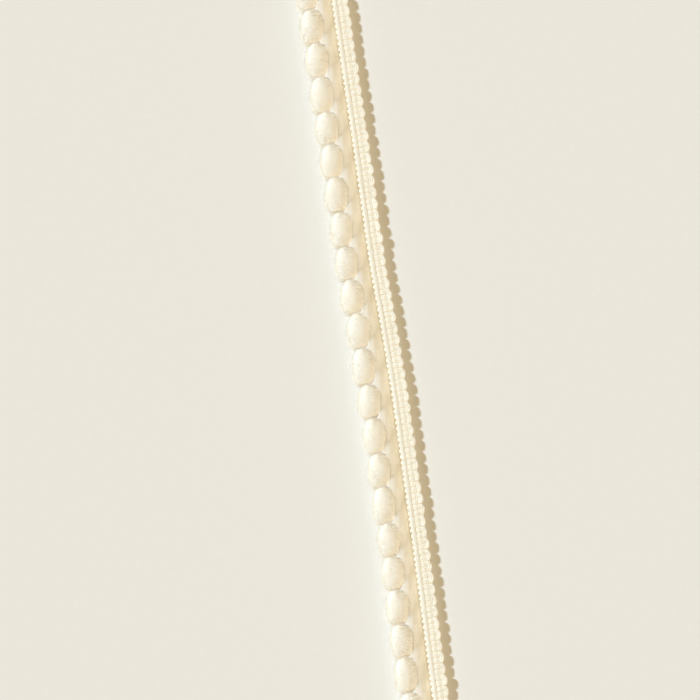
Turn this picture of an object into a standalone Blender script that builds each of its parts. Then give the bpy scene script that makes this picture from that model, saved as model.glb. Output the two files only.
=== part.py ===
# Pompom fringe trim: a woven gimp heading, neck yarns that fan out of its inner edge,
# and a row of small pile-yarn pompoms that hang from them, lying flat.
# Metres, +Z up. The trim runs along Y and rests on z = 0, with the heading's scalloped
# edge towards +X and the pompoms towards -X. The origin is under the middle of it all.
# "Across" is measured from the heading's scalloped crest line towards the pompoms.
import math
import random
from collections import namedtuple

import bmesh
import bpy
from mathutils import Matrix, Vector

MM = 0.001

# driving sizes of the whole trim
POMPOM_COUNT = 22
PITCH = 8.07 * MM  # from one pompom's tie to the next
ROWS_PER_PITCH = 6  # weft rows woven while one pompom goes by
SPARE_ROWS = 2  # rows past the first and the last pompom
ROWS_PER_SCALLOP = 2
FIRST_TIE_INSET = 2.8 * MM  # from the heading's +Y end to the first tie

# how far each tie sits off an even pitch, in millimetres towards +Y
TIE_DRIFT_MM = (
    0.0, 0.0, 0.1, 0.2, 0.0, 0.4, 0.7, 0.5, 0.5, 0.6, 0.7,
    0.5, 0.0, 0.1, 0.0, 0.1, -0.5, -0.3, 0.0, -0.1, 0.2, 0.0,
)

# how the trim wanders sideways as it lies: place along Y, shift towards +X
Sway = namedtuple("Sway", "along_mm aside_mm")
SWAY = (
    Sway(-92, -0.70),
    Sway(-78, -0.42),
    Sway(-50, 0.05),
    Sway(-23, 0.33),
    Sway(-9, 0.40),
    Sway(5, 0.14),
    Sway(18, -0.24),
    Sway(46, -0.07),
    Sway(92, -0.05),
)

# the heading's section: distance across, height, share of the weft ribs, share of the scallops
Edge = namedtuple("Edge", "across_mm height_mm rib scallop")
HEADING_SECTION = (
    Edge(0.30, 0.00, 0.0, 1.0),  # underside, outer
    Edge(0.00, 1.10, 0.0, 1.0),  # scalloped crest
    Edge(0.12, 2.00, 0.3, 1.0),  # shoulder of the loops
    Edge(0.60, 2.34, 1.0, 0.5),  # outer rows
    Edge(1.32, 1.98, 0.4, 0.0),  # outer warp chain, sunk
    Edge(1.98, 2.30, 1.0, 0.0),  # middle rows
    Edge(2.65, 1.98, 0.4, 0.0),  # inner warp chain, sunk
    Edge(3.45, 2.02, 0.5, 0.0),  # inner cord
    Edge(4.05, 1.25, -0.5, 0.0),  # bumpy inner edge: the rib stands out sideways
    Edge(3.85, 0.00, 0.0, 0.0),  # underside, inner
)
RIB_DEPTH = 0.34 * MM
SCALLOP_DEPTH = 0.50 * MM
STEPS_PER_ROW = 2

# the neck yarns: a narrow strip beside the heading, and each fan's sections out to its tie
STRIP_ACROSS = (4.35 * MM, 4.95 * MM)
STRIP_HEIGHT = 1.45 * MM
FanSection = namedtuple("FanSection", "across_mm height_mm half_length_mm half_thickness_mm")
FAN_SECTIONS = (
    FanSection(5.70, 2.10, 2.10, 0.34),
    FanSection(6.70, 2.70, 0.66, 0.28),
    FanSection(7.35, 2.95, 0.30, 0.24),
)

# a pompom, an egg of twelve locks: its middle, its half sizes and how its locks stand
POMPOM_ACROSS = 9.12 * MM
POMPOM_BELOW_TIE = 4.06 * MM  # from the tie to the pompom's middle, towards -Y
POMPOM_HALF = Vector((2.68 * MM, 3.84 * MM, 2.42 * MM))
POMPOM_MIDDLE_HEIGHT = 2.08 * MM
POMPOM_FULLNESS = 2.5  # 2 is a plain ellipsoid, more is fuller
PULL_TO_TIE = Vector((0.0, 0.0, 0.15 * MM))  # of the end that hangs from the tie
POMPOM_LEAN_DEG = 8  # its free end hangs away from the heading
NARROWING_AT_TIE = 0.14
LOCK_ROOT_REACH = 0.62  # share of the ball's radius
LockSection = namedtuple("LockSection", "reach spread")  # of the radius, of the lock's own field
LOCK_SECTIONS = (
    LockSection(0.89, 0.90),  # shoulder
    LockSection(0.97, 0.74),  # brow
    LockSection(1.00, 0.40),  # crown
)
LOCK_UNEVENNESS = 0.035
GIRTH_UNEVENNESS = 0.035
ROLL_LIMIT_DEG = 9
ASIDE_LIMIT = 0.10 * MM
SEED = 7

row_pitch = PITCH / ROWS_PER_PITCH
row_count = POMPOM_COUNT * ROWS_PER_PITCH + SPARE_ROWS
trim_length = row_count * row_pitch
crest_x = (POMPOM_ACROSS + POMPOM_HALF.x) / 2


def clear_scene():
    for thing in list(bpy.data.objects):
        bpy.data.objects.remove(thing, do_unlink=True)


def make_collection(name):
    collection = bpy.data.collections.new(name)
    bpy.context.scene.collection.children.link(collection)
    return collection


def make_material(name, colour, roughness):
    material = bpy.data.materials.new(name)
    material.use_nodes = True
    material.diffuse_color = (*colour, 1.0)
    shader = material.node_tree.nodes["Principled BSDF"]
    shader.inputs["Base Color"].default_value = (*colour, 1.0)
    shader.inputs["Roughness"].default_value = roughness
    shader.inputs["Metallic"].default_value = 0.0
    return material


def add_object(name, bm, material, collection):
    bmesh.ops.recalc_face_normals(bm, faces=bm.faces[:])
    mesh = bpy.data.meshes.new(name)
    bm.to_mesh(mesh)
    bm.free()
    mesh.materials.append(material)
    made = bpy.data.objects.new(name, mesh)
    collection.objects.link(made)
    return made


def sway(y):
    """How far the trim is shifted sideways here: a smooth curve through the rows of SWAY."""
    last = len(SWAY) - 1
    i = max(k for k in range(last) if SWAY[k].along_mm <= y / MM)
    here, there = SWAY[i], SWAY[i + 1]
    before, after = SWAY[max(i - 1, 0)], SWAY[min(i + 2, last)]
    leaving = (there.aside_mm - before.aside_mm) / (there.along_mm - before.along_mm)
    arriving = (after.aside_mm - here.aside_mm) / (after.along_mm - here.along_mm)
    span = there.along_mm - here.along_mm
    t = (y / MM - here.along_mm) / span
    aside_mm = (
        (2 * t**3 - 3 * t**2 + 1) * here.aside_mm
        + (t**3 - 2 * t**2 + t) * span * leaving
        + (3 * t**2 - 2 * t**3) * there.aside_mm
        + (t**3 - t**2) * span * arriving
    )
    return aside_mm * MM


def place(across, y, height):
    """A point on the trim as it lies, from its place on the straight trim."""
    return Vector((crest_x - across + sway(y), y, height))


def tie_y(index):
    even = trim_length / 2 - FIRST_TIE_INSET - index * PITCH
    return even + TIE_DRIFT_MM[index] * MM


def pitch_share(index):
    """The pitch below this tie, as a share of the even one: the pompoms fill it."""
    if index == POMPOM_COUNT - 1:
        return 1.0
    return (tie_y(index) - tie_y(index + 1)) / PITCH


def sweep_along_y(section, start_y, step, steps):
    """A closed section of (across, height) points, swept along -Y and capped."""
    bm = bmesh.new()
    ring = [bm.verts.new((-across, start_y, height)) for across, height in section]
    edges = [bm.edges.new((ring[k - 1], ring[k])) for k in range(len(ring))]
    bmesh.ops.spin(
        bm, geom=ring + edges, cent=(0, 0, 0), axis=(0, 0, 1),
        dvec=(0, -step, 0), angle=0.0, steps=steps, use_duplicate=False,
    )
    open_edges = [edge for edge in bm.edges if edge.is_boundary]
    bmesh.ops.holes_fill(bm, edges=open_edges, sides=0)
    return bm


def scallop_inset(step_index):
    """How far the scalloped edge stands back here: round lobes with sharp notches between."""
    steps = ROWS_PER_SCALLOP * STEPS_PER_ROW
    from_lobe = abs((step_index % steps) / steps - 0.5) * 2
    return SCALLOP_DEPTH * (1 - math.sqrt(1 - from_lobe**2))


def make_heading(material, collection):
    start_y = trim_length / 2
    step = row_pitch / STEPS_PER_ROW
    section = [(edge.across_mm * MM, edge.height_mm * MM) for edge in HEADING_SECTION]
    bm = sweep_along_y(section, start_y, step, row_count * STEPS_PER_ROW)
    for vert in bm.verts:
        step_index = round((start_y - vert.co.y) / step)
        nearest = min(
            range(len(section)),
            key=lambda k: math.hypot(section[k][0] + vert.co.x, section[k][1] - vert.co.z),
        )
        across, height = section[nearest]
        edge = HEADING_SECTION[nearest]
        in_valley = step_index % STEPS_PER_ROW == 0
        across += edge.scallop * scallop_inset(step_index)
        if in_valley and edge.rib > 0:
            height -= edge.rib * RIB_DEPTH
        if in_valley and edge.rib < 0:
            across += edge.rib * RIB_DEPTH
        vert.co = place(across, vert.co.y, height)
    return add_object("heading", bm, material, collection)


def make_neck_fringe(material, collection):
    step = PITCH / 2
    start_y = tie_y(0) + step / 2
    near, far = STRIP_ACROSS
    band = [(near, 0), (near, STRIP_HEIGHT), (far, STRIP_HEIGHT), (far, 0)]
    bm = sweep_along_y(band, start_y, step, POMPOM_COUNT * 2)
    for vert in bm.verts:
        step_index = round((start_y - vert.co.y) / step)
        tie = min(step_index // 2, POMPOM_COUNT - 1)
        y = tie_y(tie) + step / 2 - (step_index - 2 * tie) * step
        vert.co = place(-vert.co.x, y, vert.co.z)
    bmesh.ops.recalc_face_normals(bm, faces=bm.faces[:])
    far_side = [face for face in bm.faces if face.normal.x < -0.9]
    middles = [tie_y(tie) for tie in range(POMPOM_COUNT)]
    roots = [min(far_side, key=lambda face: abs(face.calc_center_median().y - y)) for y in middles]
    for fan, middle in zip(roots, middles):
        for section in FAN_SECTIONS:
            fan = bmesh.ops.extrude_discrete_faces(bm, faces=[fan])["faces"][0]
            centre = fan.calc_center_median()
            for vert in fan.verts:
                along = math.copysign(section.half_length_mm, vert.co.y - centre.y)
                above = math.copysign(section.half_thickness_mm, vert.co.z - centre.z)
                height = (section.height_mm + above) * MM
                vert.co = place(section.across_mm * MM, middle + along * MM, height)
    return add_object("neck_fringe", bm, material, collection)


def lock_fields():
    """A ball's twelve four-sided fields: a rhombic dodecahedron, six of them round the Y axis."""
    bm = bmesh.new()
    bmesh.ops.create_cube(bm, size=2.0)
    cube_edges = bm.edges[:]
    bmesh.ops.poke(bm, faces=bm.faces[:], offset=1.0)
    bmesh.ops.dissolve_edges(bm, edges=cube_edges)
    turn = Vector((1, 1, 1)).rotation_difference(Vector((0, 1, 0))).to_matrix()
    bmesh.ops.rotate(bm, cent=(0, 0, 0), matrix=turn, verts=bm.verts[:])
    return bm


def pompom_point(direction, reach, half):
    """A point of the ball, from its middle, in a direction and at a share of its radius."""
    powers = sum(abs(part) ** POMPOM_FULLNESS for part in direction)
    size = reach * powers ** (-1 / POMPOM_FULLNESS)
    point = Vector([size * part * length for part, length in zip(direction, half)])
    towards_tie = max(0.0, point.y / half.y) ** 2
    point.x *= 1 - NARROWING_AT_TIE * towards_tie
    point.z *= 1 - NARROWING_AT_TIE * towards_tie
    return point + PULL_TO_TIE * towards_tie


def make_pompom(index, chance, material, collection):
    roll = math.radians(chance.uniform(-ROLL_LIMIT_DEG, ROLL_LIMIT_DEG))
    girth = 1 + chance.uniform(-GIRTH_UNEVENNESS, GIRTH_UNEVENNESS)
    aside = chance.uniform(-ASIDE_LIMIT, ASIDE_LIMIT)
    share = pitch_share(index)
    half = Vector((POMPOM_HALF.x * girth, POMPOM_HALF.y * share, POMPOM_HALF.z * girth))
    bm = lock_fields()
    belt = min(bm.faces, key=lambda face: face.calc_center_median().normalized().z)
    down = belt.calc_center_median()
    level = math.atan2(down.x, -down.z) + roll
    turn = Matrix.Rotation(level, 3, "Y")
    bmesh.ops.rotate(bm, cent=(0, 0, 0), matrix=turn, verts=bm.verts[:])
    corners = {vert: vert.co.normalized() for vert in bm.verts}
    fields = bm.faces[:]
    middle_y = tie_y(index) - POMPOM_BELOW_TIE * share
    middle = place(POMPOM_ACROSS + aside, middle_y, POMPOM_MIDDLE_HEIGHT)
    lean = Matrix.Rotation(-math.radians(POMPOM_LEAN_DEG), 3, "Z")
    for vert, direction in corners.items():
        vert.co = pompom_point(direction, LOCK_ROOT_REACH, half)
    for field in fields:
        directions = [corners[vert] for vert in field.verts]
        centre = sum(directions, Vector()).normalized()
        longer = 1 + chance.uniform(-LOCK_UNEVENNESS, LOCK_UNEVENNESS)
        lock = field
        for section in LOCK_SECTIONS:
            lock = bmesh.ops.extrude_discrete_faces(bm, faces=[lock])["faces"][0]
            for vert, direction in zip(lock.verts, directions):
                towards = centre.lerp(direction, section.spread).normalized()
                vert.co = pompom_point(towards, section.reach * longer, half)
    for vert in bm.verts:
        vert.co = lean @ vert.co
        vert.co.z = max(vert.co.z, -middle.z)
    made = add_object(f"pompom_{index + 1:02d}", bm, material, collection)
    made.location = middle
    return made


def centre_on_origin(objects):
    """Moves the trim so that the origin is under the middle of its bounds."""
    bpy.context.view_layer.update()
    corners = [made.matrix_world @ vert.co for made in objects for vert in made.data.vertices]
    low = Vector([min(corner[k] for corner in corners) for k in range(3)])
    high = Vector([max(corner[k] for corner in corners) for k in range(3)])
    shift = Vector(((low.x + high.x) / 2, (low.y + high.y) / 2, low.z))
    for made in objects:
        made.location -= shift


def main():
    clear_scene()
    collection = make_collection("pompom fringe trim")
    gimp = make_material("cream gimp yarn", (0.86, 0.81, 0.68), 0.72)
    pile = make_material("cream pile yarn", (0.88, 0.80, 0.65), 0.95)
    chance = random.Random(SEED)
    made = [make_heading(gimp, collection), make_neck_fringe(pile, collection)]
    made += [make_pompom(index, chance, pile, collection) for index in range(POMPOM_COUNT)]
    centre_on_origin(made)


main()
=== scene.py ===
# A pompom fringe trim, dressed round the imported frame: a gimp heading of looped weft yarn,
# neck yarns that gather into ties, and a row of velvety pile pompoms.
import math

import bmesh
import bpy
import numpy as np
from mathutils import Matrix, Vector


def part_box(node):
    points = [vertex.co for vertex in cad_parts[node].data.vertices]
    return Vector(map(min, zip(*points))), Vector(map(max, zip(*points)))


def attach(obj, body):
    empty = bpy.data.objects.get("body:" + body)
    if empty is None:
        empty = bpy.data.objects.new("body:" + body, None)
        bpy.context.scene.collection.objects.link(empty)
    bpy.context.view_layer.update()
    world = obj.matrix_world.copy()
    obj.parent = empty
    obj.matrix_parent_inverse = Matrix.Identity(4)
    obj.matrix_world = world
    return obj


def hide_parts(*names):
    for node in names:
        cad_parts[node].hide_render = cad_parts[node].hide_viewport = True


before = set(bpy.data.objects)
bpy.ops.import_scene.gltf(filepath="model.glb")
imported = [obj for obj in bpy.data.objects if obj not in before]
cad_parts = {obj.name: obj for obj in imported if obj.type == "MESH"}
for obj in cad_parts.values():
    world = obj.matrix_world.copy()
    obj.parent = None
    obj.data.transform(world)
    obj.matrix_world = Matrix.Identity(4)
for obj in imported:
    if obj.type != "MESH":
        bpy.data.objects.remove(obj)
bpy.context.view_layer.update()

mm = 0.001
fullTurn = 2 * math.pi

# The trim as it lies: the same driving sizes as its solids.
trim = {
    "pitch": 8.07 * mm,  # from tie to tie
    "rowsPerPitch": 6,  # weft rows woven while one pompom goes by
    "pompoms": 22,
    "spareRows": 2,
    "firstTieInset": 2.8 * mm,
    "tieDriftMm": (  # how far each tie sits off an even pitch
        0.0, 0.0, 0.1, 0.2, 0.0, 0.4, 0.7, 0.5, 0.5, 0.6, 0.7,
        0.5, 0.0, 0.1, 0.0, 0.1, -0.5, -0.3, 0.0, -0.1, 0.2, 0.0,
    ),
    "swayMm": (  # place along the trim, shift towards the scalloped edge
        (-92, -0.70), (-78, -0.42), (-50, 0.05), (-23, 0.33), (-9, 0.40),
        (5, 0.14), (18, -0.24), (46, -0.07), (92, -0.05),
    ),
    "seed": 11,
}
rowPitch = trim["pitch"] / trim["rowsPerPitch"]
rowCount = trim["pompoms"] * trim["rowsPerPitch"] + trim["spareRows"]
trimLength = rowCount * rowPitch
chance = np.random.default_rng(trim["seed"])


def sway(y):
    along, aside = np.array(trim["swayMm"]).T * mm
    nextAlong, nextAside = np.append(along[1:], along[-1]), np.append(aside[1:], aside[-1])
    lastAlong, lastAside = np.append(along[0], along[:-1]), np.append(aside[0], aside[:-1])
    slope = (nextAside - lastAside) / (nextAlong - lastAlong)
    i = np.clip(np.searchsorted(along, y) - 1, 0, len(along) - 2)
    span = along[i + 1] - along[i]
    t = (y - along[i]) / span
    return (
        (2 * t**3 - 3 * t**2 + 1) * aside[i]
        + (t**3 - 2 * t**2 + t) * span * slope[i]
        + (3 * t**2 - 2 * t**3) * aside[i + 1]
        + (t**3 - t**2) * span * slope[i + 1]
    )


pairMiddles = trimLength / 2 - rowPitch * np.arange(1, rowCount, 2)  # one scallop each
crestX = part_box("heading")[1].x - sway(pairMiddles).max()


def lay(across, y, height):  # across is measured from the scalloped crest towards the pompoms
    across, y, height = np.broadcast_arrays(across, y, height)
    return np.stack([crestX - across + sway(y), y, height], -1)


def tieY(index):
    even = trimLength / 2 - trim["firstTieInset"] - index * trim["pitch"]
    return even + np.array(trim["tieDriftMm"])[index] * mm


# Yarns: one short straight strand, repeated and bent along many paths.
def straightYarn(sides, steps, flatness=1.0, tipShare=1.0):
    bm = bmesh.new()
    ring = bmesh.ops.create_circle(bm, segments=sides, radius=1.0)["verts"]
    bmesh.ops.spin(
        bm, geom=ring + bm.edges[:], cent=(0, 0, 0), axis=(0, 0, 1),
        dvec=(0, 0, 1 / steps), angle=0.0, steps=steps, use_duplicate=False,
    )
    bmesh.ops.holes_fill(bm, edges=[edge for edge in bm.edges if edge.is_boundary], sides=0)
    bmesh.ops.recalc_face_normals(bm, faces=bm.faces[:])
    bm.verts.index_update()
    start = math.atan2(bm.verts[:][0].co.y, bm.verts[:][0].co.x)
    corners, sizes, around, along = [], [], [], []
    for face in bm.faces:
        isCap = abs(face.normal.z) > 0.9
        turns = [(math.atan2(v.co.y, v.co.x) - start) / fullTurn * sides for v in face.verts]
        turns = [round(turn) % sides / sides for turn in turns]
        if max(turns) - min(turns) > 0.5 and not isCap:
            turns = [turn if turn > 0.5 else turn + 1 for turn in turns]
        for vert, turn in zip(face.verts, turns):
            corners.append(vert.index)
            around.append(0.5 + 0.4 * vert.co.x if isCap else turn)
            inwards = 0.03 * (1 + vert.co.y) * (1 if vert.co.z < 0.5 else -1)
            along.append(vert.co.z + inwards if isCap else vert.co.z)
        sizes.append(len(face.verts))
    points = np.array([vert.co[:] for vert in bm.verts])
    bm.free()
    narrowing = 1 + (tipShare - 1) * points[:, 2]
    return {
        "sides": sides,
        "steps": steps,
        "offset": points[:, :2] * (1, flatness) * narrowing[:, None],
        "ring": np.round(points[:, 2] * steps).astype(int),
        "corners": np.array(corners),
        "sizes": np.array(sizes),
        "around": np.array(around),
        "along": np.array(along),
    }


bakeMargin = 0.04  # of a strand's own cell in the map
grainShift = 7.3  # so that no two strands show the same stretch of grain
slanting = (0.12, 0.31, 0.94)  # crossed with a strand's direction, it gives a sideways one


def unit(vectors):
    return vectors / np.maximum(np.linalg.norm(vectors, axis=-1, keepdims=True), 1e-12)


def layYarns(yarn, paths, radius, twistPitch=None):
    copies = len(paths)
    ahead = unit(np.gradient(paths, axis=1))
    side = np.empty_like(paths)
    carried = np.cross(ahead[:, 0], slanting)
    for step in range(paths.shape[1]):  # the frame is carried along without turning
        there = ahead[:, step]
        carried = unit(carried - there * (carried * there).sum(1, keepdims=True))
        side[:, step] = carried
    up = np.cross(ahead, side)
    strides = np.linalg.norm(np.diff(paths, axis=1), axis=2)
    length = np.concatenate([np.zeros((copies, 1)), np.cumsum(strides, axis=1)], axis=1)
    turned = chance.uniform(0, fullTurn, (copies, 1)) + np.zeros_like(length)
    if twistPitch:
        turned = turned + length / twistPitch * fullTurn
    ring = yarn["ring"]
    cos, sin = np.cos(turned)[:, ring], np.sin(turned)[:, ring]
    x, y = yarn["offset"].T
    thick = np.broadcast_to(radius, length.shape)[:, ring, None]
    points = paths[:, ring] + thick * (
        (x * cos - y * sin)[..., None] * side[:, ring]
        + (x * sin + y * cos)[..., None] * up[:, ring]
    )
    columns = max(1, round(math.sqrt(copies * yarn["steps"] / yarn["sides"])))
    rows = math.ceil(copies / columns)
    copy = np.arange(copies)[:, None]
    filled = 1 - 2 * bakeMargin
    bakeU = (copy % columns + bakeMargin + filled * yarn["around"]) / columns
    bakeV = (copy // columns + bakeMargin + filled * yarn["along"]) / rows
    wayV = length[:, ring][:, yarn["corners"]] / mm + grainShift * copy
    wayU = yarn["around"] + np.zeros_like(wayV)
    return {
        "points": points.reshape(-1, 3),
        "corners": (yarn["corners"] + copy * len(ring)).ravel(),
        "sizes": np.tile(yarn["sizes"], copies),
        "bake": np.stack([bakeU, bakeV], -1).reshape(-1, 2),
        "way": np.stack([wayU, wayV], -1).reshape(-1, 2),
        "tip": np.tile(ring / yarn["steps"], copies),
    }


def smoothPath(knots, count):  # an even walk along a smooth curve through the knots
    knots = np.array(knots, float)
    before = np.vstack([2 * knots[0] - knots[1], knots[:-1]])[:-1]
    after = np.vstack([knots[1:], 2 * knots[-1] - knots[-2]])[1:]
    here, there = knots[:-1], knots[1:]
    fine = []
    for t in np.linspace(0, 1, 12, endpoint=False):
        fine.append(
            here
            + 0.5 * t * (there - before)
            + t**2 * (before - 2.5 * here + 2 * there - 0.5 * after)
            + t**3 * (1.5 * (here - there) + 0.5 * (after - before))
        )
    curve = np.vstack([np.stack(fine, 1).reshape(-1, knots.shape[1]), knots[-1]])
    gone = np.append(0, np.cumsum(np.linalg.norm(np.diff(curve, axis=0), axis=1)))
    even = np.linspace(0, gone[-1], count)
    return np.stack([np.interp(even, gone, part) for part in curve.T], -1)


def makePiece(name, shapes, material, node):
    faceCount = sum(len(shape["sizes"]) for shape in shapes)
    first, low, cells, corners = 0, 0.0, [], []
    for shape in shapes:  # each shape bakes into its own band of the map
        share = len(shape["sizes"]) / faceCount
        cells.append(shape["bake"] * (1, share) + (0, low))
        corners.append(shape["corners"] + first)
        first += len(shape["points"])
        low += share
    corners = np.concatenate(corners)
    sizes = np.concatenate([shape["sizes"] for shape in shapes])
    mesh = bpy.data.meshes.new(name)
    mesh.vertices.add(first)
    mesh.vertices.foreach_set("co", np.vstack([s["points"] for s in shapes]).astype("f").ravel())
    mesh.loops.add(len(corners))
    mesh.loops.foreach_set("vertex_index", corners.astype("i"))
    mesh.polygons.add(len(sizes))
    mesh.polygons.foreach_set("loop_start", (np.cumsum(sizes) - sizes).astype("i"))
    mesh.update(calc_edges=True)
    mesh.validate()
    ways = np.vstack([shape["way"] for shape in shapes])
    for label, spots in (("yarnWay", ways), ("OFBake", np.vstack(cells))):
        layer = mesh.uv_layers.new(name=label, do_init=False)
        layer.uv.foreach_set("vector", spots.astype("f").ravel())
    tips = np.concatenate([shape["tip"] for shape in shapes])
    mesh.attributes.new("tip", "FLOAT", "POINT").data.foreach_set("value", tips.astype("f"))
    mesh.shade_smooth()
    mesh.materials.append(material)
    piece = bpy.data.objects.new(name, mesh)
    bpy.context.scene.collection.objects.link(piece)
    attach(piece, "root")
    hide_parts(node)


# Finishes.
class Wire:  # a socket that takes part in sums
    def __init__(self, finish, socket):
        self.finish = finish
        self.socket = socket

    def maths(self, operation, first, second):
        return self.finish.node("ShaderNodeMath", {"operation": operation}, {0: first, 1: second})

    def __add__(self, other):
        return self.maths("ADD", self, other)

    def __sub__(self, other):
        return self.maths("SUBTRACT", self, other)

    def __rsub__(self, other):
        return self.maths("SUBTRACT", other, self)

    def __mul__(self, other):
        return self.maths("MULTIPLY", self, other)

    __radd__ = __add__
    __rmul__ = __mul__


class Finish:  # a material and its nodes
    def __init__(self, name):
        self.material = bpy.data.materials.new(name)
        self.material.use_nodes = True
        self.tree = self.material.node_tree
        self.shader = self.tree.nodes["Principled BSDF"]

    def node(self, kind, settings=None, values=None, output=0):
        made = self.tree.nodes.new(kind)
        for name, value in (settings or {}).items():
            setattr(made, name, value)
        for name, value in (values or {}).items():
            self.feed(made.inputs[name], value)
        return Wire(self, made.outputs[output])

    def feed(self, socket, value):
        if isinstance(value, Wire):
            self.tree.links.new(value.socket, socket)
        else:
            socket.default_value = value

    def blend(self, factor, first, second):  # of two colours
        return self.node("ShaderNodeMix", {"data_type": "RGBA"}, {0: factor, 6: first, 7: second}, 2)

    def noise(self, vector, scale, detail=2.0):
        values = {"Vector": vector, "Scale": scale, "Detail": detail}
        return self.node("ShaderNodeTexNoise", {"noise_dimensions": "3D"}, values)


def yarnFinish(name, look):
    finish = Finish(name)
    place = finish.node("ShaderNodeTexCoord", output="Object")
    way = finish.node("ShaderNodeUVMap", {"uv_map": "yarnWay"})
    tip = finish.node("ShaderNodeAttribute", {"attribute_name": "tip"}, output="Fac")
    stretch = {"Vector": way, "Scale": look["fibreStretch"]}
    filaments = finish.noise(finish.node("ShaderNodeMapping", None, stretch), 1.0, 1.0)
    cloud = finish.noise(place, look["cloudScale"])
    speck = finish.noise(place, look["speckScale"], 0.0)
    # Painted shade: where the tip attribute is low, the colour goes towards the painted shade colour. The
    # attribute rises from each strand's root to its tip. The neck yarns set it by height, and the pompoms
    # lower it under their lower ends and raise it on the side the sun lights.
    depth = 1 - tip * look["tipShare"]
    colour = finish.blend(depth, look["colour"], look["paintedShadeColour"])
    shade = (cloud - 0.5) * look["cloudiness"] + (speck - 0.5) * look["speckle"]
    colour = finish.blend(shade + look["paleness"], colour, look["paleColour"])
    finish.feed(finish.shader.inputs["Base Color"], colour)
    roughness = filaments * look["roughnessSpread"] + look["roughness"]
    finish.feed(finish.shader.inputs["Roughness"], roughness)
    bump = {"Height": filaments, "Strength": look["bump"], "Distance": look["bumpDepth"]}
    finish.feed(finish.shader.inputs["Normal"], finish.node("ShaderNodeBump", None, bump))
    finish.shader.inputs["Specular IOR Level"].default_value = look["specular"]
    finish.shader.inputs["Sheen Weight"].default_value = look["sheen"]
    finish.shader.inputs["Sheen Roughness"].default_value = 0.5
    finish.shader.inputs["Sheen Tint"].default_value = look["paleColour"]
    return finish.material


# The gimp heading.
gimp = {
    "topMm": (  # across, height of the heading's top
        (0.0, 2.15), (0.30, 2.34), (0.80, 2.24), (1.32, 2.02), (1.98, 2.26), (2.65, 2.02),
        (3.0, 1.94), (3.6, 1.96), (4.05, 1.55),
    ),
    "strandRadius": 0.285 * mm,
    "strandGap": 0.36 * mm,  # from strand to strand in one row
    "strandsPerRow": 3,
    "twistPitch": 3.0 * mm,
    "plyFlatness": 0.84,
    "loopDepth": 0.40 * mm,  # of the middle strand's turn at the scalloped edge
    "loopDepthStep": 0.15 * mm,
    "loopReach": 0.02 * mm,  # how far the loops stand out past the heading's edge
    "rowCrown": 0.04 * mm,  # how far a row's outer strands lie below its middle one
    "loopSag": 0.10 * mm,
    "loopKnots": 7,
    "loopBegins": 1.5 * mm,  # from here out to its crest a scallop wanders as one
    "loopFade": 1.2 * mm,
    "innerEdge": 3.84 * mm,
    "outerStrandInset": 0.07 * mm,  # a row's outer strands turn a little sooner
    "backHeight": 0.24 * mm,
    "backEnd": 1.25 * mm,
    "rowPinch": 0.42,  # a row narrows where it turns at the inner edge
    "backMm": (2.3, 3.2),  # where a strand is held down under the heading
    "turnInset": 0.30 * mm,  # inwards from the inner edge, where it starts to turn up
    "turnRise": 0.02 * mm,
    "turnHeight": 0.95 * mm,
    "turnedInset": 0.06 * mm,
    "turnedHeight": 1.46 * mm,
    "rowStart": (3.40 * mm, 1.62 * mm),  # across, height where it comes over the edge
    "topOfRowMm": (3.05, 2.65, 2.3, 1.98, 1.65, 1.32),  # from there back to the loop
    "lastOfRow": 1.08 * mm,
    "flatBelow": 0.4 * mm,  # the unevenness fades out towards the flat back
    "flatFade": 0.5 * mm,
    "unevenness": 0.016 * mm,
    "scallopUnevenness": (0.05 * mm, 0.07 * mm, 0.09 * mm),  # along, across, in height
    "steps": 64,
}
chains = {
    "acrossMm": (1.32, 2.65),
    "threadRadius": 0.085 * mm,
    "halfWidth": 0.19 * mm,
    "overRow": 2.03 * mm,
    "inValley": 1.80 * mm,
    "root": 1.4 * mm,
    "overlap": 0.22 * mm,
    "steps": 14,
}
innerBand = {
    "acrossMm": (2.90, 3.12, 3.34, 3.55),
    "heightMm": (1.94, 1.99, 1.98, 1.90),
    "strandRadius": 0.20 * mm,
    "wave": 0.02 * mm,
    "twistPitch": 1.9 * mm,
    "plyFlatness": 0.9,
    "stepsPerRow": 3,
}
stuffing = {
    "acrossMm": (0.78, 1.36, 1.94, 2.52, 3.10),
    "height": 1.15 * mm,
    "yarnRadius": 0.42 * mm,
    "flatness": 1.75,
}
gimpLook = {
    "colour": (0.91, 0.845, 0.70, 1.0),
    "paintedShadeColour": (0.90, 0.82, 0.66, 1.0),
    "paleColour": (0.94, 0.895, 0.79, 1.0),
    "tipShare": 1.0,
    "paleness": 0.30,
    "cloudScale": 260.0,
    "cloudiness": 0.7,
    "speckScale": 3800.0,
    "speckle": 0.5,
    "fibreStretch": (9.0, 1.6, 1.0),
    "roughness": 0.62,
    "roughnessSpread": 0.2,
    "bump": 0.5,
    "bumpDepth": 0.03 * mm,
    "specular": 0.35,
    "sheen": 0.12,
}


def topHeight(across):
    places, heights = np.array(gimp["topMm"]).T * mm
    return np.interp(across, places, heights)


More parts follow.
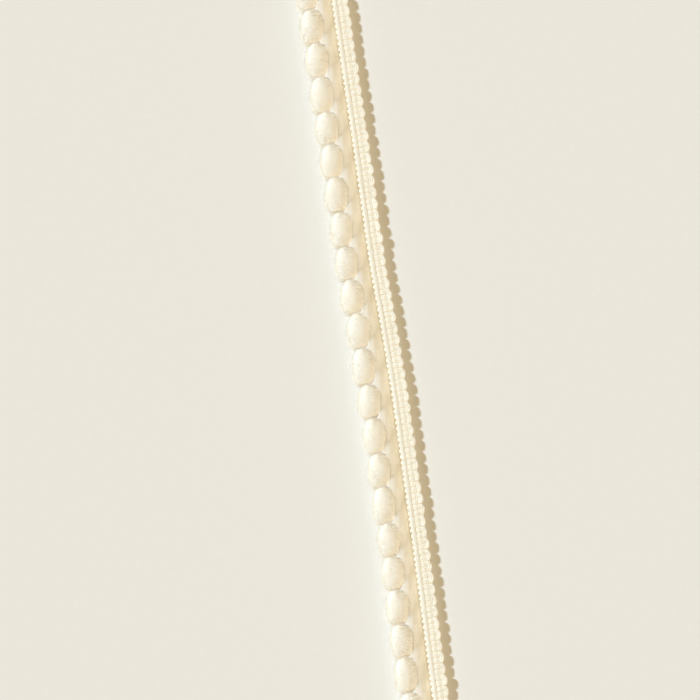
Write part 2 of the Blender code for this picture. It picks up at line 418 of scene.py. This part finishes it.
def weftPath(strand):  # one strand of one scallop: in from the back, round the loop, and back in
    radius = gimp["strandRadius"]
    beside = (strand - (gimp["strandsPerRow"] - 1) / 2) * gimp["strandGap"]
    outwards = beside / gimp["strandGap"]  # -1 inside the loop, 1 outside it
    halfWidth = rowPitch / 2 + beside
    crest = radius + (1 - outwards) * gimp["strandGap"] - gimp["loopReach"]
    depth = gimp["loopDepth"] + outwards * gimp["loopDepthStep"]
    crown = gimp["rowCrown"] * abs(outwards)
    edge = gimp["innerEdge"] - (gimp["outerStrandInset"] if outwards else 0)
    pinched = rowPitch / 2 + beside * gimp["rowPinch"]
    back = gimp["backHeight"]
    leg = [(halfWidth, gimp["backEnd"], back)]
    leg += [(halfWidth, across * mm, back) for across in gimp["backMm"]]
    leg.append((pinched, edge - gimp["turnInset"], back + gimp["turnRise"]))
    leg.append((pinched, edge, gimp["turnHeight"]))
    leg.append((pinched, edge - gimp["turnedInset"], gimp["turnedHeight"] - crown))
    leg.append((pinched, gimp["rowStart"][0], gimp["rowStart"][1] - crown))
    leg += [
        (halfWidth, across * mm, topHeight(across * mm) - radius - crown)
        for across in gimp["topOfRowMm"]
    ]
    loop = []
    for turn in np.linspace(0, math.pi, gimp["loopKnots"]):
        across = crest + depth * (1 - math.sin(turn))
        sag = gimp["loopSag"] * math.sin(turn)
        loop.append((halfWidth * math.cos(turn), across, topHeight(across) - radius - crown / 2 - sag))
    last = gimp["lastOfRow"]
    if loop[0][1] < last:
        leg.append((halfWidth, last, topHeight(last) - radius - crown))
    mirrored = [(-y, across, height) for y, across, height in leg[::-1]]
    return smoothPath(leg + loop + mirrored, gimp["steps"] + 1)


def makeWeft():
    yarn = straightYarn(6, gimp["steps"], gimp["plyFlatness"])
    paths = []
    scallop = [chance.normal(0, spread, (len(pairMiddles), 1)) for spread in gimp["scallopUnevenness"]]
    for strand in range(gimp["strandsPerRow"]):
        along, across, height = weftPath(strand).T
        shift = chance.normal(0, gimp["unevenness"], (3, len(pairMiddles), 1))
        inLoop = np.clip((gimp["loopBegins"] - across) / gimp["loopFade"], 0, 1)
        shift = [one + other * inLoop for one, other in zip(shift, scallop)]
        top = np.clip((height - gimp["flatBelow"]) / gimp["flatFade"], 0, 1)
        y = pairMiddles[:, None] + along + shift[0] * top
        paths.append(lay(across + shift[1] * top, y, height + shift[2] * top))
    return [layYarns(yarn, np.concatenate(paths), gimp["strandRadius"], gimp["twistPitch"])]


def chainPath():  # one stitch: up out of the last one, over a row, round, and down again
    wide, low, high = chains["halfWidth"], chains["inValley"], chains["overRow"]
    leg = [
        (0.10 * mm, -0.05 * mm, chains["root"]),
        (-0.12 * mm, -0.5 * wide, low),
        (-0.42 * mm, -0.9 * wide, high - 0.06 * mm),
        (-0.5 * rowPitch, -wide, high),
        (-0.85 * rowPitch, -0.95 * wide, high - 0.08 * mm),
        (-rowPitch, -0.7 * wide, low + 0.10 * mm),
    ]
    tip = [(-rowPitch - chains["overlap"], 0.0, low + 0.05 * mm)]
    otherLeg = [(y, -across, height) for y, across, height in leg[::-1]]
    return smoothPath(leg + tip + otherLeg, chains["steps"] + 1)


def makeChains():
    yarn = straightYarn(5, chains["steps"])
    along, aside, height = chainPath().T
    starts = trimLength / 2 - rowPitch * np.arange(rowCount - 1)
    paths = []
    for across in chains["acrossMm"]:
        drift = chance.normal(0, gimp["unevenness"] / 2, (2, len(starts), 1))
        y = starts[:, None] + along + drift[0]
        paths.append(lay(across * mm + aside + drift[1], y, height))
    return layYarns(yarn, np.concatenate(paths), chains["threadRadius"])


def makeBand():
    steps = rowCount * innerBand["stepsPerRow"]
    yarn = straightYarn(6, steps, innerBand["plyFlatness"])
    y = np.linspace(trimLength / 2, -trimLength / 2, steps + 1)
    wave = innerBand["wave"] * np.cos((trimLength / 2 - y) / rowPitch * fullTurn)
    paths = [
        lay(across * mm, y, height * mm - wave)
        for across, height in zip(innerBand["acrossMm"], innerBand["heightMm"])
    ]
    return layYarns(yarn, np.array(paths), innerBand["strandRadius"], innerBand["twistPitch"])


def makeStuffing():
    yarn = straightYarn(8, rowCount, 1.0)
    y = np.linspace(trimLength / 2, -trimLength / 2, rowCount + 1)
    paths = np.array([lay(across * mm, y, stuffing["height"]) for across in stuffing["acrossMm"]])
    shape = layYarns(yarn, paths, stuffing["yarnRadius"])
    lift = shape["points"][:, 2] - stuffing["height"]
    shape["points"][:, 2] = stuffing["height"] + lift * stuffing["flatness"]
    # painted shade: the stuffing under the rows takes the shade colour all over
    shape["tip"][:] = 0.0
    return shape


# The neck yarns.
neck = {
    "stepsPerPitch": 36,
    "sidesOnTop": 20,
    "startAcross": 3.60 * mm,  # a little inside the heading's inner edge
    "stepCrowding": 1.2,  # steps crowd towards the tie
    "endInset": 0.35 * mm,  # from the heading's ends
    "reachAtTie": 8.75 * mm,
    "tuckedIn": 0.5 * mm,  # the yarns' outer edge runs into the pompoms' sides
    "betweenMm": (  # across, height of the top between two ties
        (3.6, 0.95), (4.2, 1.05), (4.7, 1.32), (5.2, 1.75), (5.7, 2.22),
        (6.2, 2.62), (6.8, 2.85), (8.9, 2.9),
    ),
    "fanMm": (  # across, height of a fan's middle, half its length along the trim
        (3.6, 0.62, 4.4), (4.2, 0.80, 4.2), (4.7, 1.38, 4.0), (5.2, 2.1, 3.6), (5.7, 2.7, 3.1),
        (6.2, 3.05, 2.6), (6.8, 3.2, 2.1), (7.5, 3.3, 1.6), (8.2, 3.2, 1.2), (8.9, 2.8, 1.0),
    ),
    "fanRoundness": 1.2,
    "thickness": 0.7 * mm,
    "outerThickness": 0.25,  # share of it that is left at the outer edge
    "innerTaper": 0.125,  # share of the width over which it starts from nothing
    "lowest": 0.05 * mm,
    "paintedShadeBelow": 1.6 * mm,  # painted shade: below this height the yarns between the fans are darker, where shade falls
    "paintedShadeFade": 1.5 * mm,
    "edgeRise": 0.5 * mm,  # over the outer half, where the yarns climb the pompom's side
    "yarnsInHalfFan": 7,
    "yarnDepth": 0.09 * mm,
    "grainAcross": 12,
}
pileLook = {
    "colour": (0.98, 0.925, 0.80, 1.0),
    "paintedShadeColour": (0.87, 0.73, 0.49, 1.0),
    "paleColour": (0.95, 0.90, 0.80, 1.0),
    "tipShare": 0.9,
    "paleness": 0.28,
    "cloudScale": 330.0,
    "cloudiness": 0.9,
    "speckScale": 5200.0,
    "speckle": 0.7,
    "fibreStretch": (7.0, 2.0, 1.0),
    "roughness": 0.82,
    "roughnessSpread": 0.15,
    "bump": 0.7,
    "bumpDepth": 0.05 * mm,
    "specular": 0.05,
    "sheen": 0.0,
}
neckLook = dict(
    pileLook,
    colour=(0.995, 0.95, 0.85, 1.0),
    paintedShadeColour=(0.80, 0.725, 0.565, 1.0),
    tipShare=1.0,
    paleColour=(0.995, 0.955, 0.865, 1.0),
    bump=0.8,
)
fuzzLook = dict(pileLook, colour=(1.0, 0.965, 0.88, 1.0), paleColour=(0.98, 0.95, 0.88, 1.0))


def neckTop(across, fromTie):  # the top of the yarns, between ties and up the fans
    spots, low = np.array(neck["betweenMm"]).T * mm
    places, high, halfLength = np.array(neck["fanMm"]).T * mm
    between = np.interp(across, spots, low)
    share = fromTie / np.interp(across, places, halfLength)
    rise = np.maximum(0, 1 - share**2) ** neck["fanRoundness"]
    yarns = 0.5 - 0.5 * np.cos(share * neck["yarnsInHalfFan"] * fullTurn)
    top = between + (np.interp(across, places, high) - between) * rise
    return top - neck["yarnDepth"] * yarns


# The pompoms.
pile = {
    "acrossMiddle": 9.12 * mm,
    "belowTie": 4.06 * mm,
    "middleHeight": 2.08 * mm,
    "girthHeight": 2.45 * mm,
    "fullness": 2.7,  # 2 is a plain ellipsoid, more is fuller
    "pullToTie": (0.0, 0.0, 0.15 * mm),  # of the end that hangs from the tie
    "narrowingAtTie": 0.08,
    "gapPlace": 0.3 * mm,  # where a pompom's lower end stands clear of the next
    "gapReach": 0.8 * mm,
    "gapDepth": 0.28 * mm,
    "slopeToHeading": 0.3,  # the side the yarns join is less steep
    "leanDegrees": 8.4,  # its free end hangs away from the heading
    "halfWidth": 2.85 * mm,
    "solidHalfLength": 3.84 * mm,
    "halfLength": 4.3 * mm,  # before its ends are pressed flat against its neighbours
    "mergingHalfLength": 6.5 * mm,  # the same where the pile of two pompoms runs together
    "mergingPlace": 0.85 * mm,  # from its middle, away from the heading
    "mergingReach": 0.9 * mm,
    "pressedHalfLength": 3.96 * mm,
    "pressedFrom": 0.84,  # share of that length where the end starts to flatten
    "edgeSamples": 9000,  # points that find where a pompom's side is
    "edgeHeights": (-0.1 * mm, 1.2 * mm),  # over its middle, where the yarns meet it
    "edgeSlice": 0.15 * mm,
    "fibres": 2600,
    "fibreScatter": 0.016,
    "coreFineness": 5,
    "fibreRadius": 0.034 * mm,
    "fibreTaper": 0.5,  # a fibre's tip is this share of its root
    "fibreReach": 0.3 * mm,  # past the body's surface
    "outerReach": 0.9 * mm,  # longer and looser on the side away from the heading
    "endReach": 0.2 * mm,  # where the pile of two pompoms runs together
    "tiedReach": (0.35 * mm, 0.5 * mm, 0.12 * mm),  # where the pile comes out of its tie
    "raggedness": 0.018,
    "fibreLean": 0.09 * mm,
    "clumpPitch": 0.78 * mm,  # tufts lie in rows across the trim
    "clumpDepth": 0.085,
    "clumpPull": 0.14 * mm,
    "rowWander": 0.25,
    "rowStrength": 0.65,
    "rowFading": 1.3,
    "faintestRow": 0.15,
    "lumpiness": 0.0352,
    "lumpFineness": 2.6,
    "bodyRoughness": 0.006,
    "strays": 150,
    "strayReach": (1.04, 1.16),
    "strayRoot": 0.9,
    "straySpread": 0.22 * mm,
    "strayBend": 0.10 * mm,
    "strayRadius": 0.022 * mm,
    "bodyInset": 0.04,  # how much smaller the dense body is than the pile's tips
    "rootInset": 0.02,  # of a fibre, inside the body
    "tipInset": 0.01,
    "grainScale": 8,
    "floorGap": 0.01 * mm,
    "outerFrom": 0.4,  # where the outer side starts, towards the heading; there the fibres are longer and the pile is paler with painted light
    "underShadeFalloff": 6,
    "endFrom": 0.375,  # share of the way along where a pompom's end starts
    "bodyTone": 0.85,  # 0 is the painted shade colour, 1 the full one; the body under the fibres sits a little towards the shade
    # Painted light and shade in the pile's tone: the outer side, which the sun lights, is paler, and so are
    # the fibres near the tie; under the lower end, where shade falls between two pompoms, it is darker.
    "outerPaintedLight": 0.15,
    "underPaintedShade": 0.75,
    "fibreOuterPaintedLight": 0.9,
    "fibreTiedPaintedLight": 0.7,
    "fibreUnderPaintedShade": 0.95,
}


def evenDirections(count):  # a golden spiral over the ball, its poles on the Y axis
    spot = np.arange(count) + 0.5
    y = 1 - 2 * spot / count
    turn = spot * math.pi * (3 - math.sqrt(5))
    girth = np.sqrt(1 - y**2)
    return np.stack([girth * np.cos(turn), y, girth * np.sin(turn)], -1)


def leaned(points):
    lean = math.radians(pile["leanDegrees"])
    x, y, z = points.T
    across = x * math.cos(lean) + y * math.sin(lean)
    return np.stack([across, y * math.cos(lean) - x * math.sin(lean), z], -1)


def ballPoint(direction, reach, half):
    powers = (np.abs(direction) ** pile["fullness"]).sum(-1)
    point = direction * half * (reach * powers ** (-1 / pile["fullness"]))[:, None]
    towardsTie = np.maximum(point[:, 1] / half[1], 0) ** 2
    point[:, [0, 2]] *= 1 - pile["narrowingAtTie"] * towardsTie[:, None]
    point += towardsTie[:, None] * np.array(pile["pullToTie"])
    towardsHeading = np.maximum(point[:, 0] / half[0], 0) ** 2 * (point[:, 2] > 0)
    point[:, 2] *= 1 - pile["slopeToHeading"] * towardsHeading
    merging = np.exp(-(((point[:, 0] + pile["mergingPlace"]) / pile["mergingReach"]) ** 2))
    swollen = pile["halfLength"] + (pile["mergingHalfLength"] - pile["halfLength"]) * merging
    out = np.abs(point[:, 1]) / half[1] * swollen / pile["pressedHalfLength"]
    start = pile["pressedFrom"]
    flat = start + (1 - start) * np.tanh((out - start) / (1 - start))
    pressed = np.where(out > start, flat, out)
    point[:, 1] = np.sign(point[:, 1]) * pressed * half[1] * pile["pressedHalfLength"] / pile["halfLength"]
    gap = np.exp(-(((point[:, 0] - pile["gapPlace"]) / pile["gapReach"]) ** 2))
    lowEnd = np.clip(-point[:, 1] / half[1], 0, 1) ** 5
    point[:, 1] += pile["gapDepth"] * gap * lowEnd
    return point


def pileEdge(fromTie):  # how far across the yarns reach before they meet a pompom's side
    half = np.array((pile["halfWidth"], pile["halfLength"], pile["girthHeight"]))
    count = pile["edgeSamples"]
    side = leaned(ballPoint(evenDirections(count), np.ones(count), half))
    low, high = pile["edgeHeights"]
    side = side[(side[:, 2] > low) & (side[:, 2] < high)]
    across = pile["acrossMiddle"] - side[:, 0]
    above = pile["belowTie"] + side[:, 1]
    reach = np.full(len(fromTie), neck["reachAtTie"])
    for i, place in enumerate(fromTie):
        for pompom in (0, trim["pitch"]):
            away = np.abs(-place - above + 2 * pile["belowTie"] - pompom)
            beside = away < pile["edgeSlice"]
            if beside.any():
                reach[i] = min(reach[i], across[beside].min() + neck["tuckedIn"])
    return reach


def makeNeck():
    perPitch, onTop = neck["stepsPerPitch"], neck["sidesOnTop"]
    share = (np.arange(perPitch) + 0.5) / perPitch - 0.5
    share = np.sign(share) * np.abs(2 * share) ** neck["stepCrowding"] / 2
    ties = np.arange(-1, trim["pompoms"] + 1)
    stations = (ties[:, None] + share).ravel()
    known = tieY(np.arange(trim["pompoms"]))
    known = np.concatenate([[known[0] + trim["pitch"]], known, [known[-1] - trim["pitch"]]])
    place = np.interp(stations, ties, known)
    inside = np.abs(place) < trimLength / 2 - neck["endInset"]
    stations, place = stations[inside], place[inside]
    stations = np.concatenate([stations[:1], stations, stations[-1:]])  # the ends close
    place = np.concatenate([place[:1], place, place[-1:]])
    fromTie = (stations - np.round(stations)) * trim["pitch"]
    reach = pileEdge(fromTie)

    bm = bmesh.new()
    bm.loops.layers.uv.new("spots")
    sides = 2 * onTop
    bmesh.ops.create_grid(bm, x_segments=len(place) - 1, y_segments=sides, size=0.5, calc_uvs=True)
    spots = np.array([vert.co[:2] for vert in bm.verts]) + 0.5
    step = np.round(spots[:, 0] * (len(place) - 1)).astype(int)
    side = np.round(spots[:, 1] * sides).astype(int)
    outwards = np.where(side <= onTop, side, sides - side) / onTop
    across = neck["startAcross"] + (reach[step] - neck["startAcross"]) * outwards
    top = neckTop(across, fromTie[step])
    top = top + neck["edgeRise"] * np.clip((outwards - 0.5) / 0.5, 0, 1)
    thick = neck["thickness"] * np.clip(1 + neck["outerThickness"] - outwards**4, 0, 1)
    thick *= np.minimum(1, outwards / neck["innerTaper"])
    thick[(step == 0) | (step == len(place) - 1)] = 0
    height = np.where(side <= onTop, top, top - thick)
    points = lay(across, place[step], np.maximum(height, neck["lowest"]))
    for vert, point in zip(bm.verts, points):
        vert.co = point
    bmesh.ops.remove_doubles(bm, verts=bm.verts, dist=0.0005 * mm)
    bmesh.ops.recalc_face_normals(bm, faces=bm.faces[:])
    return [meshArrays(bm)]


def meshArrays(bm):
    layer = bm.loops.layers.uv.active
    bm.verts.index_update()
    loops = [loop for face in bm.faces for loop in face.loops]
    spots = 0.01 + 0.98 * np.array([loop[layer].uv[:] for loop in loops])
    points = np.array([vert.co[:] for vert in bm.verts])
    shape = {
        "points": points,
        "corners": np.array([loop.vert.index for loop in loops]),
        "sizes": np.array([len(face.verts) for face in bm.faces]),
        "bake": spots,
        "way": spots * (trimLength / mm, neck["grainAcross"]),
        # painted shade: the lower a neck yarn lies, the nearer its colour is to the painted shade colour
        "tip": np.clip((points[:, 2] - neck["paintedShadeBelow"]) / neck["paintedShadeFade"], 0, 1),
    }
    bm.free()
    return shape


def lumps(direction, waves):  # a few slow waves over the ball, each pompom its own
    return sum(np.cos(direction @ wave[:3] * pile["lumpFineness"] + wave[3]) for wave in waves) / len(waves)


def outerShare(direction):  # 1 on the side away from the heading
    return np.clip(pile["outerFrom"] - direction[:, 0], 0, 1)


def underShadeShare(direction):  # 1 under the lower end, beside the next pompom's tie, on the side towards the heading: painted shade darkens the pile there
    lower = np.clip(-direction[:, 1], 0, 1) ** pile["underShadeFalloff"]
    return lower * (1 - outerShare(direction))


def endShare(along):  # 1 at a pompom's end, 0 over most of its length
    return np.clip((along - pile["endFrom"]) / (1 - pile["endFrom"]), 0, 1)


def tufts(direction, half, waves, fades, rowStart):  # how far the pile reaches, and its rows
    swell = 1 + pile["lumpiness"] * lumps(direction, waves)
    row = ballPoint(direction, swell, half)[:, 1] / pile["clumpPitch"]
    row = (row + pile["rowWander"] * lumps(direction, fades) + rowStart) * fullTurn
    fading = pile["rowFading"] * lumps(direction, fades)
    faded = np.clip(pile["rowStrength"] + fading, pile["faintestRow"], 1)
    reach = swell - pile["clumpDepth"] * faded * (0.5 - 0.5 * np.cos(row))
    return reach, pile["clumpPull"] * faded * np.sin(row) * -0.5


def coreArrays(half, waves, fades, rowStart):
    bm = bmesh.new()
    bmesh.ops.create_icosphere(bm, subdivisions=pile["coreFineness"], radius=1.0)
    points = np.array([vert.co[:] for vert in bm.verts])
    bm.verts.index_update()
    corners = np.array([vert.index for face in bm.faces for vert in face.verts])
    sizes = np.array([len(face.verts) for face in bm.faces])
    bm.free()
    direction = unit(points)
    reach, _ = tufts(direction, half, waves, fades, rowStart)
    rough = chance.normal(0, pile["bodyRoughness"], len(points))
    spots = points[corners].reshape(-1, 3, 3)
    turn = np.arctan2(spots[..., 0], spots[..., 2]) / fullTurn + 0.5
    acrossSeam = np.ptp(turn, axis=1)[:, None] > 0.5
    turn = turn + acrossSeam * (turn < 0.5)  # the last faces before the seam stay whole
    bake = np.stack([turn.ravel() * 0.94, 0.5 + 0.49 * spots[..., 1].ravel()], -1)
    # painted light: the outer side, which the sun lights, is paler; painted shade: the crease under the
    # lower end is darker
    paintedLightTone = pile["bodyTone"] + pile["outerPaintedLight"] * outerShare(direction)
    return {
        "points": ballPoint(direction, reach + rough - pile["bodyInset"], half),
        "corners": corners,
        "sizes": sizes,
        "bake": bake,
        "way": bake * pile["grainScale"],
        "tip": paintedLightTone - pile["underPaintedShade"] * underShadeShare(direction),
    }


def layFibres(direction, half, waves, fades, rowStart):
    count = len(direction)
    reach, pull = tufts(direction, half, waves, fades, rowStart)
    ragged = chance.normal(0, pile["raggedness"], count)
    tip = ballPoint(direction, reach + ragged - pile["tipInset"], half)
    tip[:, 1] += pull
    tip += chance.normal(0, pile["fibreLean"], (count, 3))
    root = ballPoint(direction, reach - pile["bodyInset"] - pile["rootInset"], half)

    loose = chance.uniform(0, 1, count)
    outer, along = outerShare(direction), direction[:, 1]
    longer = np.clip(-direction[:, 0], 0, 1) * loose
    tip += direction * (pile["fibreReach"] + pile["outerReach"] * longer)[:, None]
    tip[:, 1] += np.sign(along) * endShare(np.abs(along)) * outer * loose * pile["endReach"]
    tied = endShare(along) * (1 - outer) * loose
    tip += tied[:, None] * np.array(pile["tiedReach"])
    fibre = straightYarn(3, 1, tipShare=pile["fibreTaper"])
    shape = layYarns(fibre, np.stack([root, tip], 1), pile["fibreRadius"])

    # painted light: fibres on the outer side, and on the upper end near the tie, are paler and their roots
    # less dark; painted shade: under the lower end they are darker
    paintedLightShare = np.minimum(outer + pile["fibreTiedPaintedLight"] * np.clip(along, 0, 1) ** 3, 1)
    paintedLightShare = np.repeat(paintedLightShare, len(fibre["ring"]))
    paintedShadeShare = np.repeat(underShadeShare(direction), len(fibre["ring"]))
    paintedLightTone = shape["tip"] * (0.5 + 0.5 * paintedLightShare) + pile["fibreOuterPaintedLight"] * paintedLightShare
    shape["tip"] = np.minimum(paintedLightTone, 1) * (1 - pile["fibreUnderPaintedShade"] * paintedShadeShare)
    return shape


def layStrays(half):  # a few long hairs that stand out of the pile
    count = pile["strays"]
    direction = unit(chance.normal(0, 1, (count, 3)))
    reach = chance.uniform(*pile["strayReach"], count)
    ends = ballPoint(direction, reach, half) + chance.normal(0, pile["straySpread"], (count, 3))
    roots = ballPoint(direction, np.full(count, pile["strayRoot"]), half)
    bend = chance.normal(0, pile["strayBend"], (count, 3))
    walks = [roots + (ends - roots) * t + bend * math.sin(math.pi * t) for t in (0, 0.35, 0.7, 1)]
    stray = straightYarn(3, 3, tipShare=pile["fibreTaper"])
    return layYarns(stray, np.stack(walks, 1), pile["strayRadius"])


def makePompom(index):
    low, high = (np.array(corner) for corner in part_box(f"pompom_{index + 1:02d}"))
    middle = (low + high) / 2
    middle[2] = pile["middleHeight"]
    longer = pile["halfLength"] / pile["solidHalfLength"]
    half = np.array((pile["halfWidth"], (high[1] - low[1]) / 2 * longer, high[2] - middle[2]))
    waves = np.hstack([chance.normal(0, 1, (5, 3)), chance.uniform(0, fullTurn, (5, 1))])
    fades = np.hstack([chance.normal(0, 1, (4, 3)), chance.uniform(0, fullTurn, (4, 1))])
    scatter = chance.normal(0, pile["fibreScatter"], (pile["fibres"], 3))
    direction = unit(evenDirections(pile["fibres"]) + scatter)
    rowStart = chance.uniform()
    fibres = layFibres(direction, half, waves, fades, rowStart)
    body = coreArrays(half, waves, fades, rowStart)
    strays = layStrays(half)
    for shape in (body, fibres, strays):
        shape["points"] = leaned(shape["points"]) + middle
        shape["points"][:, 2] = np.maximum(shape["points"][:, 2], pile["floorGap"])
    return [body], [fibres, strays]


# Floor, light and camera.
stage = {
    "cameraHeight": 0.5,
    "viewHeight": 164.9 * mm,  # how much of the floor the picture takes in
    "viewMiddle": (-5.7 * mm, -0.9 * mm),
    "rollDegrees": 8.4,
    "floorSize": 3.0,
    "floorColour": (0.855, 0.82, 0.75, 1.0),
    "floorDarker": 0.97,  # its grain's darker parts, as a share of that
    "floorGrain": 900.0,
    "floorRoughness": 0.9,
    "floorSpecular": 0.2,
    "sunTowards": (0.81, -0.59),
    "sunElevationDegrees": 36.6,
    "sunAngleDegrees": 6.0,
    "sunColour": (0.656, 0.812, 1.0),
    "sunPower": 3.58,
    "fillTowards": (-0.72, 0.69),
    "fillElevationDegrees": 8.0,
    "fillAngleDegrees": 60.0,
    "fillColour": (0.93, 0.93, 0.92),
    "fillPower": 2.06,
    "roomColour": (0.516, 0.391, 0.191, 1.0),
    "roomPower": 0.81,
}


def makeStage():
    bm = bmesh.new()
    bmesh.ops.create_grid(bm, x_segments=1, y_segments=1, size=stage["floorSize"] / 2)
    mesh = bpy.data.meshes.new("floor")
    bm.to_mesh(mesh)
    bm.free()
    finish = Finish("pale floor")
    place = finish.node("ShaderNodeTexCoord", output="Object")
    grain = finish.noise(place, stage["floorGrain"])
    dull = tuple(part * stage["floorDarker"] for part in stage["floorColour"][:3]) + (1.0,)
    finish.feed(finish.shader.inputs["Base Color"], finish.blend(grain, dull, stage["floorColour"]))
    finish.shader.inputs["Roughness"].default_value = stage["floorRoughness"]
    finish.shader.inputs["Specular IOR Level"].default_value = stage["floorSpecular"]
    mesh.materials.append(finish.material)
    floor = bpy.data.objects.new("floor", mesh)
    bpy.context.scene.collection.objects.link(floor)

    for name in ("sun", "fill"):
        light = bpy.data.lights.new(name, "SUN")
        light.energy = stage[name + "Power"]
        light.color = stage[name + "Colour"]
        light.angle = math.radians(stage[name + "AngleDegrees"])
        light.use_shadow = name == "sun"  # the fill only softens the shaded sides
        lamp = bpy.data.objects.new(name, light)
        bpy.context.scene.collection.objects.link(lamp)
        heading = math.atan2(stage[name + "Towards"][1], stage[name + "Towards"][0])
        tilt = math.radians(90 - stage[name + "ElevationDegrees"])
        lamp.rotation_euler = (tilt, 0, heading - math.pi / 2)  # tipped over, then turned

    world = bpy.data.worlds.new("room")
    world.use_nodes = True
    room = world.node_tree.nodes["Background"]
    room.inputs["Color"].default_value = stage["roomColour"]
    room.inputs["Strength"].default_value = stage["roomPower"]
    bpy.context.scene.world = world
    bpy.context.scene.view_settings.view_transform = "Standard"

    camera = bpy.data.cameras.new("camera")
    camera.lens = camera.sensor_width * stage["cameraHeight"] / stage["viewHeight"]
    eye = bpy.data.objects.new("camera", camera)
    eye.location = (*stage["viewMiddle"], stage["cameraHeight"])
    eye.rotation_euler = (0, 0, -math.radians(stage["rollDegrees"]))
    bpy.context.scene.collection.objects.link(eye)
    bpy.context.scene.camera = eye


makeStage()
print("floor, light and camera ready")
gimpYarn = yarnFinish("gimp yarn", gimpLook)
pileYarn = yarnFinish("pile yarn", pileLook)
neckYarn = yarnFinish("neck yarn", neckLook)
fuzzYarn = yarnFinish("pile fuzz", fuzzLook)
makePiece("gimp_weft", makeWeft(), gimpYarn, "heading")
print("weft rows laid")
makePiece("gimp_warp", [makeChains(), makeBand(), makeStuffing()], gimpYarn, "heading")
print("warp chains and inner band laid")
makePiece("neck_yarns", makeNeck(), neckYarn, "neck_fringe")
print("neck yarns gathered")
for index in range(trim["pompoms"]):
    node = f"pompom_{index + 1:02d}"
    body, fuzz = makePompom(index)
    makePiece(node.replace("pompom", "pompom_pile"), body, pileYarn, node)
    makePiece(node.replace("pompom", "pompom_fuzz"), fuzz, fuzzYarn, node)
print("pompoms trimmed")
